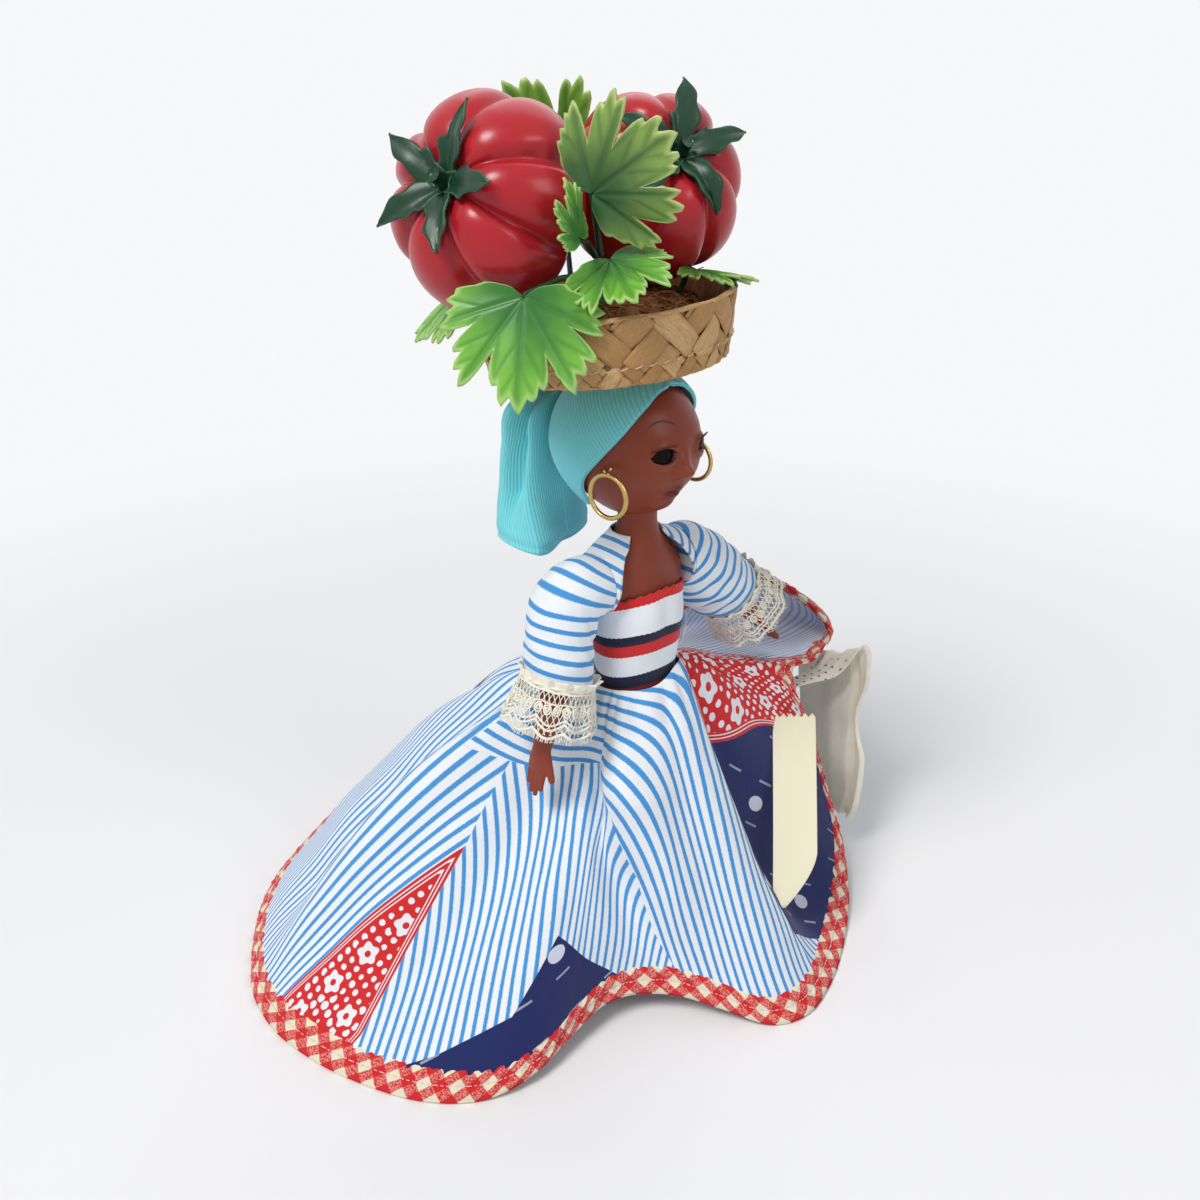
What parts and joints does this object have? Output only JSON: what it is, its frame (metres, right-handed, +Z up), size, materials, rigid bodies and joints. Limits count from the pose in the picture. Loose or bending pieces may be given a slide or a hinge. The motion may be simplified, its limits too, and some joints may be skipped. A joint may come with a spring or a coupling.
{
  "type": "topsy turvy doll",
  "caption": "Souvenir doll with a second doll upside down under its lined skirt, carrying a straw basket of tomatoes on its headscarf.",
  "frame": {"origin": "on the table, under the upright axis of the joined torsos, where the lower doll's crown rests", "axes": "+Z up along both torsos towards the upper doll's head, -Y the way the upper doll's chest faces, +X towards its left hand"},
  "size_m": [0.1849, 0.1742, 0.2264],
  "materials": {
    "brown_plastic": "satin moulded hard plastic",
    "eye_plastic": "glossy",
    "rubber": "matte",
    "aqua_knit": "fine ribbed knit",
    "striped_cloth": "printed cotton knit",
    "bodice_knit": "banded knit",
    "lining_cloth": "striped cotton",
    "red_gingham": "checked cotton",
    "cream_lace": "net lace and eyelet cotton",
    "straw": "plaited straw",
    "raffia": "loose raffia",
    "red_plastic": "glossy hollow-moulded plastic",
    "calyx_green": "satin soft plastic",
    "leaf_green": "satin soft plastic",
    "brass": "polished wire",
    "satin": "plain woven ribbon"
  },
  "bodies": {
    "joined_torsos": {"upper_torso": "brown_plastic", "lower_torso": "brown_plastic", "upper_arm_elastic": "rubber", "lower_arm_elastic": "rubber", "waist_plug": "brown_plastic", "upper_bodice": "bodice_knit", "lower_bodice": "red_gingham", "upper_jacket": "striped_cloth", "skirt_outer": "striped_cloth", "skirt_lining": "lining_cloth", "skirt_binding": "red_gingham", "waistband": "striped_cloth", "lower_apron": "cream_lace", "ribbon_tag": "satin"},
    "upper_head_body": {"upper_head": "brown_plastic", "upper_headscarf": "aqua_knit", "upper_scarf_tail": "aqua_knit", "earring_post_left": "brass", "earring_post_right": "brass", "basket_base": "straw", "basket_wall": "straw", "basket_filler": "raffia", "tomato_big": "red_plastic", "tomato_small": "red_plastic", "tomato_big_calyx": "calyx_green", "tomato_small_calyx": "calyx_green", "spray_hub": "calyx_green", "leaf_front_low": "leaf_green", "leaf_front_middle": "leaf_green", "leaf_front_strip": "leaf_green", "leaf_front_high": "leaf_green", "leaf_top_back": "leaf_green", "leaf_left_low": "leaf_green", "leaf_right_low": "leaf_green"},
    "upper_eyes": {"upper_sleep_eyes": "eye_plastic"},
    "left_hoop": {"earring_hoop_left": "brass"},
    "right_hoop": {"earring_hoop_right": "brass"},
    "upper_left_arm": {"upper_arm_left": "brown_plastic", "upper_sleeve_left": "striped_cloth", "upper_cuff_left": "cream_lace"},
    "upper_right_arm": {"upper_arm_right": "brown_plastic", "upper_sleeve_right": "striped_cloth", "upper_cuff_right": "cream_lace"},
    "lower_head_body": {"lower_head": "brown_plastic", "lower_headscarf": "cream_lace"},
    "lower_eyes": {"lower_sleep_eyes": "eye_plastic"},
    "lower_left_arm": {"lower_arm_left": "brown_plastic", "lower_sleeve_left": "lining_cloth", "lower_cuff_left": "cream_lace"},
    "lower_right_arm": {"lower_arm_right": "brown_plastic", "lower_sleeve_right": "lining_cloth", "lower_cuff_right": "cream_lace"}
  },
  "joints": [
    {"name": "upper_head_turn", "type": "hinge", "parent": "joined_torsos", "child": "upper_head_body", "pos_m": [0, 0, 0.1478], "axis": [0, 0, 1], "range_deg": [-45, 15]},
    {"name": "upper_eye_tilt", "type": "hinge", "parent": "upper_head_body", "child": "upper_eyes", "pos_m": [0.00075, -0.01002, 0.1488], "axis": [0.9848, 0.1736, 0], "range_deg": [0, 45]},
    {"name": "left_hoop_swing", "type": "hinge", "parent": "upper_head_body", "child": "left_hoop", "pos_m": [0.01677, -0.0021, 0.14535], "axis": [0.9848, 0.1736, 0], "range_deg": [-20, 10]},
    {"name": "right_hoop_swing", "type": "hinge", "parent": "upper_head_body", "child": "right_hoop", "pos_m": [-0.01701, -0.00806, 0.14535], "axis": [0.9848, 0.1736, 0], "range_deg": [-20, 10]},
    {"name": "upper_left_arm_swing", "type": "hinge", "parent": "joined_torsos", "child": "upper_left_arm", "pos_m": [0.0186, 0, 0.1155], "axis": [1, 0, 0], "range_deg": [-120, 5]},
    {"name": "upper_right_arm_swing", "type": "hinge", "parent": "joined_torsos", "child": "upper_right_arm", "pos_m": [-0.0186, 0, 0.1155], "axis": [1, 0, 0], "range_deg": [-120, 0]},
    {"name": "lower_head_turn", "type": "hinge", "parent": "joined_torsos", "child": "lower_head_body", "pos_m": [0, 0, 0.0182], "axis": [0, 0, 1], "range_deg": [-60, 60]},
    {"name": "lower_eye_tilt", "type": "hinge", "parent": "lower_head_body", "child": "lower_eyes", "pos_m": [-0.001, 0.01, 0.0172], "axis": [1, 0, 0], "range_deg": [-45, 0]},
    {"name": "lower_left_arm_swing", "type": "hinge", "parent": "joined_torsos", "child": "lower_left_arm", "pos_m": [0.0186, 0, 0.0505], "axis": [1, 0, 0], "range_deg": [-75, 5]},
    {"name": "lower_right_arm_swing", "type": "hinge", "parent": "joined_torsos", "child": "lower_right_arm", "pos_m": [-0.0186, 0, 0.0505], "axis": [1, 0, 0], "range_deg": [-25, 5]}
  ]
}
